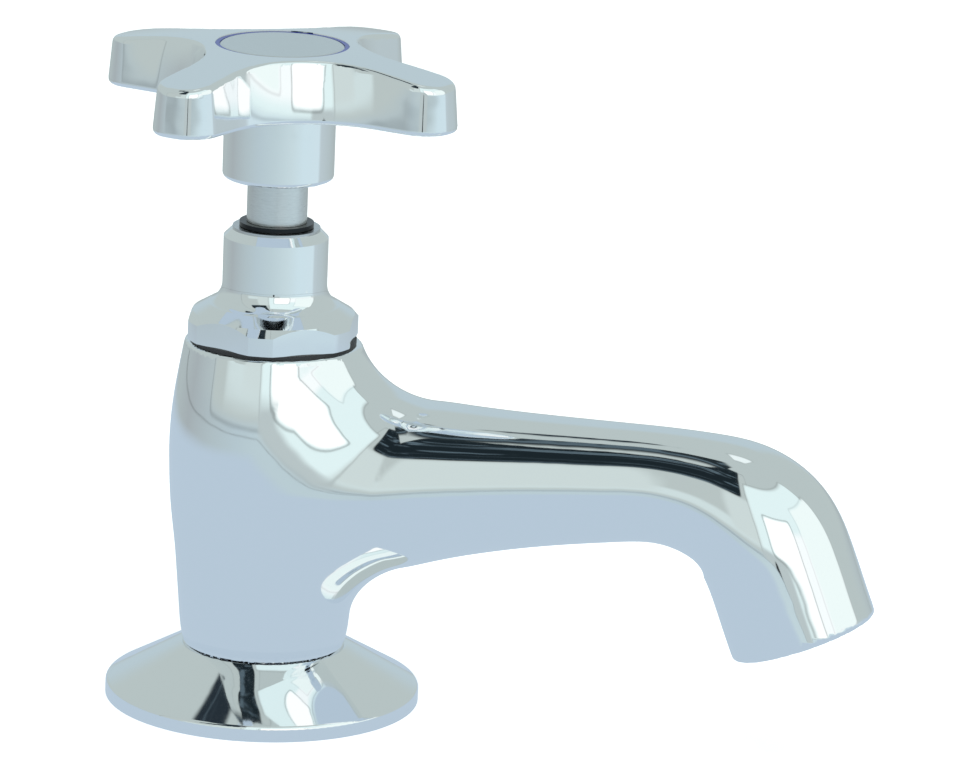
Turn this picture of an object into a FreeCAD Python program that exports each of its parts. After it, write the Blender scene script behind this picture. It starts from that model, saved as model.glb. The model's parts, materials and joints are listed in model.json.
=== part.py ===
"""Half-inch basin pillar tap with a four-armed cross handle.

The tap stands on the deck plane z = 0, on its own axis, and its spout points along +X.
Everything is in millimetres. A point written as two formulas is a radius or a distance from the
axis, then a height above the deck.
"""
import FreeCAD, Part
import math
import os
import re

import Sketcher

SIZES = {
    # Deck and foot
    "deck_thickness": (20.0, "deck or basin that the tail passes through"),
    "flange_radius": (25.0, "outer radius of the flange on the deck"),
    "flange_rim": (2.3, "upright rim of the flange"),
    "flange_top_radius": (13.3, "radius where the flange meets the body"),
    "flange_height": (8.9, "top of the flange, where the body stands"),
    "flange_edge": (0.7, "rounding of the rim's upper edge"),
    "flange_wall": (2.2, "thickness of the flange's cone, measured upright"),
    "seal_recess": (1.8, "depth of the seal's recess under the flange"),
    "seal_margin": (2.7, "flange's rim outside the soft seal"),
    "seal_width": (5.0, "width of the soft seal"),
    "foot_radius": (13.1, "body where it stands on the flange"),
    "spigot_radius": (11.1, "body inside the flange"),
    "spigot_bottom": (3.0, "lower end of the spigot"),
    "spigot_gap": (0.3, "radial clearance of the spigot in the flange"),
    # Barrel of the body
    "waist_height": (27.0, "where the straight foot turns into the belly"),
    "waist_radius": (14.75, "barrel at the waist"),
    "belly_height": (41.0, "height of the widest place"),
    "belly_radius": (15.75, "widest radius of the barrel"),
    "shoulder_drop": (1.7, "shoulder below the rim, where the barrel turns in"),
    "shoulder_radius": (14.3, "barrel at the shoulder"),
    "shoulder_rounding": (3.0, "rounding between shoulder and rim"),
    "rim_height": (58.5, "top face of the body"),
    "rim_radius": (13.5, "outer radius of that face"),
    # Spout, seen from outside
    "fairing_start": (12.0, "first section of the fairing, inside the barrel"),
    "fairing_over": (2.5, "its highest point, over the rim that cuts it off"),
    "fairing_bottom": (16.5, "its lowest point"),
    "fairing_width": (19.0, "its width"),
    "neck_place": (21.8, "where the fairing meets the round spout"),
    "neck_diameter": (26.8, "diameter of the spout there"),
    "root_place": (33.0, "next section of the spout"),
    "root_diameter": (23.6, "its diameter"),
    "middle_place": (48.0, "next section of the spout"),
    "middle_diameter": (20.2, "its diameter"),
    "bend_place": (64.8, "where the bend starts"),
    "bend_diameter": (18.2, "diameter there, the thinnest of the spout"),
    "bend_height": (42.4, "height of the spout's middle there"),
    "spout_rise": (5.5, "climb of the straight spout, degrees"),
    "bend_radius": (20.0, "radius of the bend along the spout's middle"),
    "nose_tilt": (73.0, "slope of the nose below level, degrees"),
    "nose_length": (8.0, "straight nose after the bend"),
    "nose_diameter": (23.2, "diameter of the nose"),
    "mouth_edge": (0.9, "rounding of the mouth's outer edge"),
    "spout_wall": (2.6, "wall of the spout"),
    # Waterway and seat
    "bore_radius": (6.5, "waterway in the tail"),
    "seat_passage_radius": (5.2, "hole of the valve seat"),
    "seat_passage_length": (5.5, "length of that hole"),
    "seat_depth": (27.0, "top of the seat below the rim"),
    "seat_outer_radius": (6.9, "outer radius of the raised seat"),
    "seat_rise": (2.0, "height of the raised seat"),
    "chamber_radius": (10.0, "radius of the chamber"),
    "socket_depth": (13.5, "threaded socket for the headwork, below the rim"),
    "passage_clear": (0.6, "start of the spout's waterway, outside the seat"),
    "passage_diameter": (14.0, "spout's waterway where it leaves the chamber"),
    # Tail and its fixings
    "thread_radius": (10.4775, "outer radius of a G1/2 thread"),
    "thread_pitch": (1.814, "pitch of a G1/2 thread"),
    "thread_depth": (1.16, "depth of a G1/2 thread"),
    "thread_gap": (0.08, "radial clearance of a bore over the thread"),
    "tail_length": (48.0, "tail below the deck"),
    "tail_plain": (2.0, "unthreaded length at the deck"),
    "tail_chamfer": (1.3, "chamfer at the tail's lower end"),
    "tail_neck_radius": (9.4, "upper part of the tail, inside the body"),
    "tail_top": (18.0, "upper end of the tail"),
    "tail_seal_thickness": (0.8, "flat ring under the spigot"),
    "fixed_gap": (0.1, "clearance between fixed pieces"),
    "washer_radius": (19.0, "outer radius of the deck washer"),
    "washer_thickness": (2.5, "thickness of the deck washer"),
    "washer_gap": (0.4, "radial clearance of that washer on the tail"),
    "nut_flats": (30.0, "width across flats of the back nut"),
    "nut_thickness": (8.0, "thickness of the back nut"),
    "nut_chamfer": (1.2, "height of the nut's corner chamfers"),
    # Bonnet
    "bonnet_seal_thickness": (0.6, "black ring under the bonnet"),
    "bonnet_seal_radius": (13.2, "outer radius of that ring"),
    "bonnet_flats": (25.6, "width across flats of the bonnet"),
    "bonnet_corner_radius": (13.8, "its corners, turned round"),
    "bonnet_turn": (-20.0, "turn of one corner of the hexagon from +X, degrees"),
    "bonnet_hex_height": (2.9, "upright height of the hexagon's corners"),
    "bonnet_chamfer_height": (1.2, "rise of the chamfer over the corners"),
    "bonnet_shoulder_rise": (1.4, "rise of the shoulder up to the flare"),
    "bonnet_shoulder_radius": (10.4, "radius where the shoulder meets the flare"),
    "flare_rise": (3.2, "height of the hollow flare under the tower"),
    "flare_rounding": (3.4, "radius of the hollow flare"),
    "tower_radius": (8.25, "round tower of the bonnet"),
    "tower_height": (18.0, "top of the tower over the rim"),
    "tower_chamfer": (1.2, "chamfer at the tower's top"),
    "skirt_depth": (12.5, "lower end of the bonnet's threaded skirt below the rim"),
    "slide_flats": (13.4, "width across flats of the valve carrier"),
    "slide_gap": (0.15, "clearance of the carrier at each flat"),
    "slide_rise": (2.1, "upper end of the hexagonal slideway over the rim"),
    "collar_room": (7.2, "radius of the space for the spindle's collar"),
    "ceiling_rise": (5.7, "ceiling of the collar's space over the rim"),
    # Spindle and what sits on it
    "spindle_radius": (4.75, "shaft of the spindle"),
    "spindle_gap": (0.08, "radial running clearance of the shaft"),
    "spline_root_radius": (3.6, "root of the splined end"),
    "spline_tip_radius": (4.05, "tip of its teeth"),
    "spline_count": (20, "number of teeth"),
    "spline_gap": (0.05, "clearance of the teeth in the handle"),
    "spline_start": (2.1, "start of the splined end, over the handle's lower face"),
    "spline_end": (9.9, "top of the splined end, over the handle's lower face"),
    "spindle_depth": (14.5, "lower end of the spindle's screw below the rim"),
    "screw_radius": (4.6, "screw at the spindle's lower end"),
    "screw_gap": (0.05, "clearance of that screw in the carrier"),
    "collar_radius": (6.6, "collar that holds the spindle down"),
    "collar_thickness": (1.7, "thickness of the collar"),
    "thrust_thickness": (0.6, "slip washer over the collar"),
    "running_gap": (0.1, "axial clearance between turning pieces"),
    "ring_groove_depth": (1.35, "depth of the O-ring grooves"),
    "ring_groove_width": (2.0, "width of the O-ring grooves"),
    "upper_ring_depth": (3.9, "middle of the upper O-ring below the tower's top"),
    "lower_ring_depth": (7.9, "middle of the lower O-ring below the tower's top"),
    "ring_squeeze": (0.03, "clearance of an O-ring in its groove"),
    "top_washer_radius": (6.9, "thin washer on the bonnet"),
    "top_washer_thickness": (0.4, "its thickness"),
    "circlip_radius": (5.85, "outer radius of the circlip"),
    "circlip_thickness": (0.7, "its thickness"),
    "circlip_groove_depth": (0.6, "groove that holds the circlip"),
    "circlip_slot": (2.6, "gap between the circlip's ends"),
    "groove_play": (0.05, "clearance of the circlip in its groove"),
    # Valve
    "carrier_depth": (3.9, "upper end of the carrier below the rim, valve closed"),
    "carrier_bore_room": (5.4, "threaded hole of the carrier below the spindle's end"),
    "plate_radius": (9.0, "plate that presses on the rubber washer"),
    "plate_thickness": (1.8, "its thickness"),
    "valve_washer_radius": (9.2, "rubber washer"),
    "valve_washer_thickness": (3.5, "its thickness"),
    "seat_gap": (0.05, "gap at which the closed washer is drawn"),
    "valve_screw_radius": (1.5, "screw that holds the rubber washer"),
    "valve_screw_length": (6.0, "its shank"),
    "valve_screw_head_radius": (3.4, "its head"),
    "valve_screw_head": (1.5, "height of its head"),
    "tapping_gap": (0.05, "clearance of a small screw in its hole"),
    # Handle
    "handle_clearance": (8.2, "lower face of the boss over the tower"),
    "boss_radius": (8.75, "boss of the handle"),
    "boss_bevel": (0.55, "width of the bevel at its lower edge"),
    "boss_bevel_height": (1.9, "height of that bevel"),
    "boss_height": (11.5, "underside of the cross over the boss's lower face"),
    "arm_root_rounding": (0.9, "rounding between boss and underside"),
    "arm_reach": (31.4, "tip of an arm from the axis"),
    "tip_sag": (0.2, "how much lower the underside is at the tips"),
    "cross_thickness": (10.1, "highest point of the handle over the underside"),
    "tip_drop": (2.9, "drop of the crowned top at the tips"),
    "arm_turn": (-14.5, "turn of one arm from +X, degrees"),
    "web_reach": (13.5, "hollow between two arms, from the axis"),
    "web_radius": (14.8, "radius of that hollow"),
    "arm_flare": (0.5, "how far an arm's sides open outwards, degrees"),
    "tip_rounding": (4.6, "upright corners of the arms"),
    "top_rounding": (1.2, "edge between the crowned top and the sides"),
    "underside_rounding": (0.8, "edge between the underside and the sides"),
    "index_radius": (10.46, "outer radius of the coloured ring"),
    "index_ring_width": (0.7, "width of the coloured ring"),
    "index_depth": (2.0, "depth of the recess for ring and disc"),
    "index_gap": (0.04, "radial clearance between recess, ring and disc"),
    "index_drop": (0.15, "disc and ring below the crown's edge"),
    "well_radius": (4.4, "well for the screw's head"),
    "well_rise": (12.5, "floor of that well over the boss's lower face"),
    "handle_screw_radius": (2.0, "screw that holds the handle"),
    "handle_screw_hole": (2.6, "hole that it passes"),
    "handle_screw_length": (10.0, "its shank below the washer"),
    "handle_screw_head_radius": (3.8, "its head"),
    "handle_screw_head": (2.4, "height of its head"),
    "screw_slot_width": (1.0, "slot of a screw's head"),
    "screw_slot_depth": (1.0, "depth of that slot"),
    "spring_washer_radius": (3.9, "outer radius of the spring washer"),
    "spring_washer_thickness": (0.9, "its thickness"),
    "spring_washer_slot": (0.8, "gap between the spring washer's ends"),
}

# Places that follow from the sizes, worked out where a formula names them
PLACES = {
    "seal_outer_radius": "flange_radius - seal_margin",
    "shoulder_height": "rim_height - shoulder_drop",
    "fairing_top": "rim_height + fairing_over",
    "seat_height": "rim_height - seat_depth",
    "seat_passage_bottom": "seat_height - seat_passage_length",
    "chamber_floor": "seat_height - seat_rise",
    "chamber_top": "rim_height - socket_depth",
    "skirt_bottom": "rim_height - skirt_depth",
    "slide_top": "rim_height + slide_rise",
    "ceiling_height": "rim_height + ceiling_rise",
    "tower_top": "rim_height + tower_height",
    "circlip_bottom": "tower_top + top_washer_thickness + running_gap",
    "upper_ring_height": "tower_top - upper_ring_depth",
    "lower_ring_height": "tower_top - lower_ring_depth",
    "spindle_bottom": "rim_height - spindle_depth",
    "carrier_top": "rim_height - carrier_depth",
    "carrier_bore_bottom": "spindle_bottom - carrier_bore_room",
    "handle_bottom": "tower_top + handle_clearance",
    "spline_bottom": "handle_bottom + spline_start",
    "spindle_top": "handle_bottom + spline_end",
    "well_floor": "handle_bottom + well_rise",
    "arm_underside": "handle_bottom + boss_height",
    "tip_underside": "arm_underside - tip_sag",
    "handle_top": "arm_underside + cross_thickness",
}

SWELL_IN_BEND = (0.2, 0.82, 1.05, 1.02)  # share of the nose's extra width, through the bend
THREAD_HALF_ANGLE = 27.5  # degrees, Whitworth form

document = FreeCAD.newDocument("cross_handle_tap")
sheet = document.addObject("Spreadsheet::Sheet", "Sizes")
nodes = []


def fill_sheet():
    """Write every driving size into the sheet, with its alias."""
    for row, (alias, (size, meaning)) in enumerate(SIZES.items(), 1):
        sheet.set(f"A{row}", meaning)
        sheet.set(f"B{row}", str(size))
        sheet.setAlias(f"B{row}", alias)
    document.recompute()


def formula(text):
    """Turn a formula in the words of SIZES and PLACES into an expression."""

    def written_out(word):
        name = word.group(0)
        return f"({formula(PLACES[name])})" if name in PLACES else "Sizes." + name

    return re.sub(r"[a-z]+(_[a-z]+)+", written_out, text)


def value(text):
    """Work out a formula as a number."""
    result = sheet.evalExpression(formula(text))
    return float(getattr(result, "Value", result))


def vector_formula(x, y, z):
    return f"create(<<vector>>; {x}; {y}; {z})"


def place(thing, base=("0", "0", "0"), axis=("0", "0", "1"), angle="0", prop="Placement"):
    """Bind a placement to a place and a turn about an axis."""
    rotation = f"create(<<rotation>>; {vector_formula(*axis)}; {angle})"
    thing.setExpression(prop, formula(f"create(<<placement>>; {vector_formula(*base)}; {rotation})"))


def add_node(thing):
    """Mark a finished sub-part, which is written under its label."""
    nodes.append(thing)
    return thing


# ---------------------------------------------------------------- sketches

def new_body(label):
    body = document.addObject("PartDesign::Body", label)
    body.Label = label
    return body


def new_sketch(body, role, lift="0"):
    """Attach a sketch to one of the body's own origin planes, lifted along its normal."""
    sketch = body.newObject("Sketcher::SketchObject", "Sketch")
    plane = next(item for item in body.Origin.OriginFeatures if item.Role == role)
    sketch.AttachmentSupport = [(plane, "")]
    sketch.MapMode = "FlatFace"
    if lift != "0":
        place(sketch, base=("0", "0", lift), prop="AttachmentOffset")
    return sketch


def bind(sketch, kind, elements, text):
    """Add a driving constraint whose size follows a formula."""
    number = sketch.addConstraint(Sketcher.Constraint(kind, *elements, value(text)))
    sketch.setExpression(f"Constraints[{number}]", formula(text))


def arc_through(start, end, radius, centre_on_left):
    """Arc from start to end, shorter than a half circle."""
    chord = end - start
    rise = math.sqrt(max(radius ** 2 - chord.Length ** 2 / 4, 0))
    side = FreeCAD.Vector(-chord.y, chord.x, 0).normalize()
    centre = (start + end) / 2 + side * (rise if centre_on_left else -rise)
    circle = Part.Circle(centre, FreeCAD.Vector(0, 0, 1), radius)
    first, last = (start, end) if centre_on_left else (end, start)
    return Part.ArcOfCircle(circle, circle.parameter(first), circle.parameter(last))


def outline(sketch, corners):
    """Draw a closed outline. A corner is (across, up), or (across, up, radius, side) where an arc
    with its centre on that side of the way reaches it."""
    spots = [FreeCAD.Vector(value(corner[0]), value(corner[1]), 0) for corner in corners]
    ends = []
    for number, corner in enumerate(corners):
        start, end = spots[number - 1], spots[number]
        if len(corner) == 2:
            line = sketch.addGeometry(Part.LineSegment(start, end))
            ends.append((line, 1, 2))
            continue
        on_left = corner[3] == "left"
        arc = sketch.addGeometry(arc_through(start, end, value(corner[2]), on_left))
        ends.append((arc, 1, 2) if on_left else (arc, 2, 1))
    for number, (across, up, *bow) in enumerate(corners):
        piece, _, end = ends[number]
        following, start, _ = ends[(number + 1) % len(corners)]
        sketch.addConstraint(Sketcher.Constraint("Coincident", piece, end, following, start))
        for text, kind, axis in ((across, "DistanceX", -2), (up, "DistanceY", -1)):
            if text == "0":
                sketch.addConstraint(Sketcher.Constraint("PointOnObject", piece, end, axis))
            else:
                bind(sketch, kind, (-1, 1, piece, end), text)
        if bow:
            bind(sketch, "Radius", (piece,), bow[0])


def circle(sketch, radius):
    """Draw a circle about the sketch's origin."""
    shape = Part.Circle(FreeCAD.Vector(0, 0, 0), FreeCAD.Vector(0, 0, 1), value(radius))
    number = sketch.addGeometry(shape)
    sketch.addConstraint(Sketcher.Constraint("Coincident", number, 3, -1, 1))
    bind(sketch, "Radius", (number,), radius)


def rectangle_corners(left, right, bottom, top):
    return [(left, bottom), (right, bottom), (right, top), (left, top)]


def hexagon_corners(flats):
    """Corners of a hexagon with its first corner on the sketch's X axis."""
    reach = f"({flats}) / sqrt(3)"
    return [(f"{reach} * cos({60 * n})", f"{reach} * sin({60 * n})" if n % 3 else "0") for n in range(6)]


# ---------------------------------------------------------------- features

def turned(label, corners):
    """Body turned about Z from a profile in the XZ plane."""
    body = new_body(label)
    sketch = new_sketch(body, "XZ_Plane")
    outline(sketch, corners)
    revolution = body.newObject("PartDesign::Revolution", "Revolution")
    revolution.Profile = sketch
    revolution.ReferenceAxis = (sketch, ["V_Axis"])
    revolution.Angle = 360
    return body


def extrusion(body, kind, sketch, length, upward):
    """Pad or pocket of a sketch, up or down along its normal."""
    feature = body.newObject(f"PartDesign::{kind}", kind)
    feature.Profile = sketch
    feature.setExpression("Length", formula(length))
    feature.Reversed = upward if kind == "Pocket" else not upward
    return feature


def pattern(body, feature, count):
    """Repeat a feature around Z."""
    ring = body.newObject("PartDesign::PolarPattern", "PolarPattern")
    ring.Originals = [feature]
    z_axis = next(item for item in body.Origin.OriginFeatures if item.Role == "Z_Axis")
    ring.Axis = (z_axis, [""])
    ring.Angle = 360
    ring.setExpression("Occurrences", formula(count))
    body.Tip = ring
    return ring


def fillet(body, radius, wanted):
    """Round the edges of the body that the test names."""
    document.recompute()
    base = body.Tip
    names = [f"Edge{n}" for n, edge in enumerate(base.Shape.Edges, 1) if wanted(edge)]
    rounding = body.newObject("PartDesign::Fillet", "Fillet")
    rounding.Base = (base, names)
    rounding.setExpression("Radius", formula(radius))
    return rounding


def washer(label, inner, outer, bottom, top):
    """Flat ring about Z."""
    return add_node(turned(label, rectangle_corners(inner, outer, bottom, top)))


def ring_of_wire(label, middle, section, height):
    """Ring of round section about Z."""
    torus = document.addObject("Part::Torus", label)
    torus.Label = label
    torus.setExpression("Radius1", formula(middle))
    torus.setExpression("Radius2", formula(section))
    place(torus, base=("0", "0", height))
    return add_node(torus)


def slot_across(body, lift, width, depth, reach):
    """Cut a straight slot downward across the axis."""
    sketch = new_sketch(body, "XY_Plane", lift)
    outline(sketch, rectangle_corners(f"-({reach})", reach, f"-({width}) / 2", f"({width}) / 2"))
    extrusion(body, "Pocket", sketch, depth, upward=False)


# ---------------------------------------------------------------- tap body

def tangent_bow(low_radius, low_height, high_radius, high_height):
    """Radius of the arc between two places of a profile that is upright at one of them."""
    climb, widening = f"({high_height} - {low_height})", f"({high_radius} - {low_radius})"
    return f"({climb}^2 + {widening}^2) / (2 * {widening})"


def barrel():
    """Upright barrel of the body, solid, with the spigot that the flange hides."""
    belly = ("belly_radius", "belly_height")
    lower_bow = tangent_bow("waist_radius", "waist_height", *belly)
    upper_bow = tangent_bow("shoulder_radius", "(2 * belly_height - shoulder_height)", *belly)
    return turned("barrel", [
        ("0", "spigot_bottom"),
        ("spigot_radius", "spigot_bottom"),
        ("spigot_radius", "flange_height"),
        ("foot_radius", "flange_height"),
        ("waist_radius", "waist_height"),
        (*belly, lower_bow, "left"),
        ("shoulder_radius", "shoulder_height", upper_bow, "left"),
        ("rim_radius", "rim_height", "shoulder_rounding", "left"),
        ("0", "rim_height"),
    ])


def line_height(place_on_x):
    """Height of the straight spout's middle at a distance from the axis."""
    return f"bend_height - (bend_place - ({place_on_x})) * tan(spout_rise)"


def bend_spot(tilt):
    """Middle of the spout where it slopes down by a tilt."""
    across = f"bend_place + bend_radius * (sin(spout_rise) + sin({tilt}))"
    up = f"bend_height + bend_radius * (cos({tilt}) - cos(spout_rise))"
    return across, up


def nose_spot(beyond):
    """Middle of the straight nose, a distance beyond the bend."""
    across, up = bend_spot("nose_tilt")
    return f"{across} + ({beyond}) * cos(nose_tilt)", f"{up} - ({beyond}) * sin(nose_tilt)"


def round_section(across, up, tilt, thinner):
    """Place, slope and size of a round section with a given diameter less twice a wall."""
    return lambda diameter: (across, up, tilt, f"{diameter} - {thinner}", f"{diameter} - {thinner}")


def spout_sections(thinner, beyond):
    """Round sections from the neck to the mouth: (across, up, tilt, height, width)."""
    sections = []
    for name in ("neck", "root", "middle", "bend"):
        across = f"{name}_place"
        section = round_section(across, line_height(across), "-spout_rise", thinner)
        sections.append(section(f"{name}_diameter"))
    for number, share in enumerate(SWELL_IN_BEND, 1):
        turn = f"({number} / {len(SWELL_IN_BEND)})"
        tilt = f"(nose_tilt * {turn} - spout_rise * (1 - {turn}))"
        section = round_section(*bend_spot(tilt), tilt, thinner)
        sections.append(section(f"bend_diameter + (nose_diameter - bend_diameter) * {share}"))
    section = round_section(*nose_spot(f"nose_length + {beyond}"), "nose_tilt", thinner)
    sections.append(section("nose_diameter"))
    return sections


def fairing_start():
    """Upright oval section inside the barrel, where the fairing starts."""
    middle = "(fairing_top + fairing_bottom) / 2"
    return "fairing_start", middle, "0", "fairing_top - fairing_bottom", "fairing_width"


def loft(label, sections, ruled=False):
    """Solid through oval sections, each upright to the spout's middle line."""
    ovals = []
    for across, up, tilt, height, width in sections:
        oval = document.addObject("Part::Ellipse", label + "_section")
        oval.setExpression("MajorRadius", formula(f"({height}) / 2"))
        oval.setExpression("MinorRadius", formula(f"({width}) / 2"))
        half = f"((90 - {tilt}) / 2)"
        place(oval, base=(across, "0", up), axis=(f"cos({half})", "0", f"sin({half})"), angle="180")
        ovals.append(oval)
    solid = document.addObject("Part::Loft", label)
    solid.Sections = ovals
    solid.Solid = True
    solid.Ruled = ruled
    return solid


def rounded_mouth(spout):
    """Round the outer edge of the spout's mouth."""
    document.recompute()
    across, up = nose_spot("nose_length")
    mouth = FreeCAD.Vector(value(across), 0, value(up))
    edges = spout.Shape.Edges
    edge = min(range(len(edges)), key=lambda n: (edges[n].CenterOfMass - mouth).Length)
    rounding = document.addObject("Part::Fillet", "rounded_spout")
    rounding.Base = spout
    rounding.Edges = [(edge + 1, value("mouth_edge"), value("mouth_edge"))]
    return rounding


def bore_profile():
    """Socket for the tail, waterway, raised seat, chamber, thread, and the room over the rim."""
    return turned("bore", [
        ("0", "spigot_bottom - 1"),
        ("tail_neck_radius + fixed_gap", "spigot_bottom - 1"),
        ("tail_neck_radius + fixed_gap", "tail_top + fixed_gap"),
        ("bore_radius", "tail_top + fixed_gap"),
        ("bore_radius", "seat_passage_bottom"),
        ("seat_passage_radius", "seat_passage_bottom"),
        ("seat_passage_radius", "seat_height"),
        ("seat_outer_radius", "seat_height"),
        ("seat_outer_radius", "chamber_floor"),
        ("chamber_radius", "chamber_floor"),
        ("chamber_radius", "chamber_top"),
        ("thread_radius + thread_gap", "chamber_top"),
        ("thread_radius + thread_gap", "rim_height"),
        ("neck_place", "rim_height"),
        ("neck_place", "fairing_top + 1"),
        ("0", "fairing_top + 1"),
    ])


def tap_body():
    """Barrel and spout in one casting, hollow from the tail's socket to the mouth."""
    sections = spout_sections("0", "0")
    fairing = loft("fairing", [fairing_start(), sections[0]], ruled=True)
    spout = rounded_mouth(loft("spout", sections))
    outside = document.addObject("Part::MultiFuse", "casting")
    outside.Shapes = [barrel(), fairing, spout]
    passage_sections = []
    for across in ("seat_outer_radius + passage_clear", "neck_place"):
        section = round_section(across, line_height(across), "-spout_rise", "0")
        passage_sections.append(section("passage_diameter"))
    passage_sections += spout_sections("2 * spout_wall", "1")[2:]
    passage = loft("passage", passage_sections)
    inside = document.addObject("Part::MultiFuse", "waterway")
    inside.Shapes = [bore_profile(), passage]
    body = document.addObject("Part::Cut", "tap_body")
    body.Label = "tap_body"
    body.Base = outside
    body.Tool = inside
    add_node(body)


# ---------------------------------------------------------------- foot and tail

def base_flange():
    """Loose cone that covers the deck hole, hollow underneath."""
    slope = "(flange_height - flange_rim) / (flange_radius - flange_top_radius)"
    bore = "spigot_radius + spigot_gap"
    recess_radius = "seal_outer_radius + spigot_gap"
    cone_foot = "seal_outer_radius - seal_width - spigot_gap"
    cone_foot_height = f"flange_rim + (flange_radius - ({cone_foot})) * {slope} - 2 * flange_wall"
    ceiling = "flange_height - flange_wall"
    body = turned("base_flange", [
        (bore, ceiling),
        ("flange_top_radius", ceiling),
        (cone_foot, f"max({cone_foot_height}; seal_recess + 0.2)"),
        (cone_foot, "seal_recess"),
        (recess_radius, "seal_recess"),
        (recess_radius, "0"),
        ("flange_radius", "0"),
        ("flange_radius", "flange_rim"),
        ("flange_top_radius", "flange_height"),
        (bore, "flange_height"),
    ])
    rim = value("flange_radius"), value("flange_rim")

    def is_rim(edge):
        first = edge.Vertexes[0].Point
        return math.isclose(math.hypot(first.x, first.y), rim[0], abs_tol=1e-6) and \
            math.isclose(first.z, rim[1], abs_tol=1e-6) and len(edge.Vertexes) == 1

    fillet(body, "flange_edge", is_rim)
    add_node(body)
    washer("flange_seal", "seal_outer_radius - seal_width", "seal_outer_radius", "0", "seal_recess")


def inlet_tail():
    """Threaded tail, screwed into the body's foot from below."""
    shoulder = "spigot_bottom - tail_seal_thickness"
    bottom = "-tail_length"
    body = turned("inlet_tail", [
        ("bore_radius", bottom),
        ("thread_radius - tail_chamfer", bottom),
        ("thread_radius", f"{bottom} + tail_chamfer"),
        ("thread_radius", shoulder),
        ("tail_neck_radius", shoulder),
        ("tail_neck_radius", "tail_top"),
        ("bore_radius", "tail_top"),
    ])
    sketch = new_sketch(body, "XZ_Plane")
    start = f"({bottom} - thread_pitch)"
    half_width = f"(thread_depth + thread_gap) * tan({THREAD_HALF_ANGLE})"
    outline(sketch, [
        ("thread_radius - thread_depth", start),
        ("thread_radius + thread_gap", f"{start} - {half_width}"),
        ("thread_radius + thread_gap", f"{start} + {half_width}"),
    ])
    groove = body.newObject("PartDesign::SubtractiveHelix", "Thread")
    groove.Profile = sketch
    groove.ReferenceAxis = (sketch, ["V_Axis"])
    groove.Mode = 0
    groove.setExpression("Pitch", formula("thread_pitch"))
    groove.setExpression("Height", formula("tail_length + thread_pitch - tail_plain"))
    add_node(body)
    washer("tail_seal", "tail_neck_radius + fixed_gap", "thread_radius", shoulder, "spigot_bottom")


def deck_fixings():
    """Washer and nut that clamp the tap to the deck from below."""
    washer_bottom = "-deck_thickness - washer_thickness"
    washer("deck_washer", "thread_radius + washer_gap", "washer_radius", washer_bottom, "-deck_thickness")
    nut_bottom = f"{washer_bottom} - nut_thickness"
    corner = "nut_flats / sqrt(3)"
    flat = "nut_flats / 2 - 0.4"
    body = turned("back_nut", [
        ("thread_radius + thread_gap", nut_bottom),
        (flat, nut_bottom),
        (corner, f"{nut_bottom} + nut_chamfer"),
        (corner, washer_bottom),
        ("thread_radius + thread_gap", washer_bottom),
    ])
    hexagonal(body, "nut_flats", nut_bottom, "nut_thickness")
    add_node(body)


def hexagonal(body, flats, bottom, height):
    """Cut a turned body to a hexagon between two heights."""
    sketch = new_sketch(body, "XY_Plane", bottom)
    circle(sketch, flats)
    outline(sketch, hexagon_corners(flats))
    extrusion(body, "Pocket", sketch, height, upward=True)


# ---------------------------------------------------------------- headwork

def bonnet():
    """Hexagonal headwork body with its tower, threaded skirt and slideway."""
    hex_bottom = "rim_height + bonnet_seal_thickness"
    hex_top = f"{hex_bottom} + bonnet_hex_height"
    chamfer_top = f"{hex_top} + bonnet_chamfer_height"
    shoulder_top = f"{chamfer_top} + bonnet_shoulder_rise"
    bore = "spindle_radius + spindle_gap"
    slideway = "slide_flats / 2 + slide_gap"
    body = turned("bonnet", [
        (slideway, "skirt_bottom"),
        ("thread_radius", "skirt_bottom"),
        ("thread_radius", hex_bottom),
        ("bonnet_corner_radius", hex_bottom),
        ("bonnet_corner_radius", hex_top),
        ("bonnet_flats / 2 - 0.05", chamfer_top),
        ("bonnet_shoulder_radius", shoulder_top),
        ("tower_radius", f"{shoulder_top} + flare_rise", "flare_rounding", "right"),
        ("tower_radius", "tower_top - tower_chamfer"),
        ("tower_radius - tower_chamfer", "tower_top"),
        (bore, "tower_top"),
        (bore, "ceiling_height"),
        ("collar_room", "ceiling_height"),
        ("collar_room", "slide_top"),
        (slideway, "slide_top"),
    ])
    hexagonal(body, "bonnet_flats", hex_bottom, "bonnet_hex_height + bonnet_chamfer_height")
    sketch = new_sketch(body, "XY_Plane", "skirt_bottom")
    outline(sketch, hexagon_corners("slide_flats + 2 * slide_gap"))
    extrusion(body, "Pocket", sketch, "slide_top - skirt_bottom", upward=True)
    place(body, angle="bonnet_turn")
    add_node(body)
    washer("bonnet_seal", "thread_radius + thread_gap", "bonnet_seal_radius", "rim_height", hex_bottom)
    washer("thrust_washer", "spindle_radius + spindle_gap", "collar_radius",
           "ceiling_height - thrust_thickness", "ceiling_height")


def splines(body, kind, lift, height, upward, gap):
    """Teeth on the spindle, or their grooves in the handle, once around Z."""
    sketch = new_sketch(body, "XY_Plane", lift)
    half_tooth = f"spline_root_radius * tan(90 / spline_count) * 1.1 + {gap}"
    inside = "spline_root_radius - 0.3"
    outline(sketch, [
        (inside, f"-({half_tooth})"),
        (f"spline_tip_radius + {gap}", f"-({half_tooth}) * 0.35"),
        (f"spline_tip_radius + {gap}", f"({half_tooth}) * 0.35"),
        (inside, half_tooth),
    ])
    tooth = extrusion(body, kind, sketch, height, upward)
    pattern(body, tooth, "spline_count")


def groove_corners(outer, depth, middle, width):
    """Corners of a groove, from its lower to its upper edge."""
    low, high = f"{middle} - {width} / 2", f"{middle} + {width} / 2"
    inner = f"{outer} - {depth}"
    return [(outer, low), (inner, low), (inner, high), (outer, high)]


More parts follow.
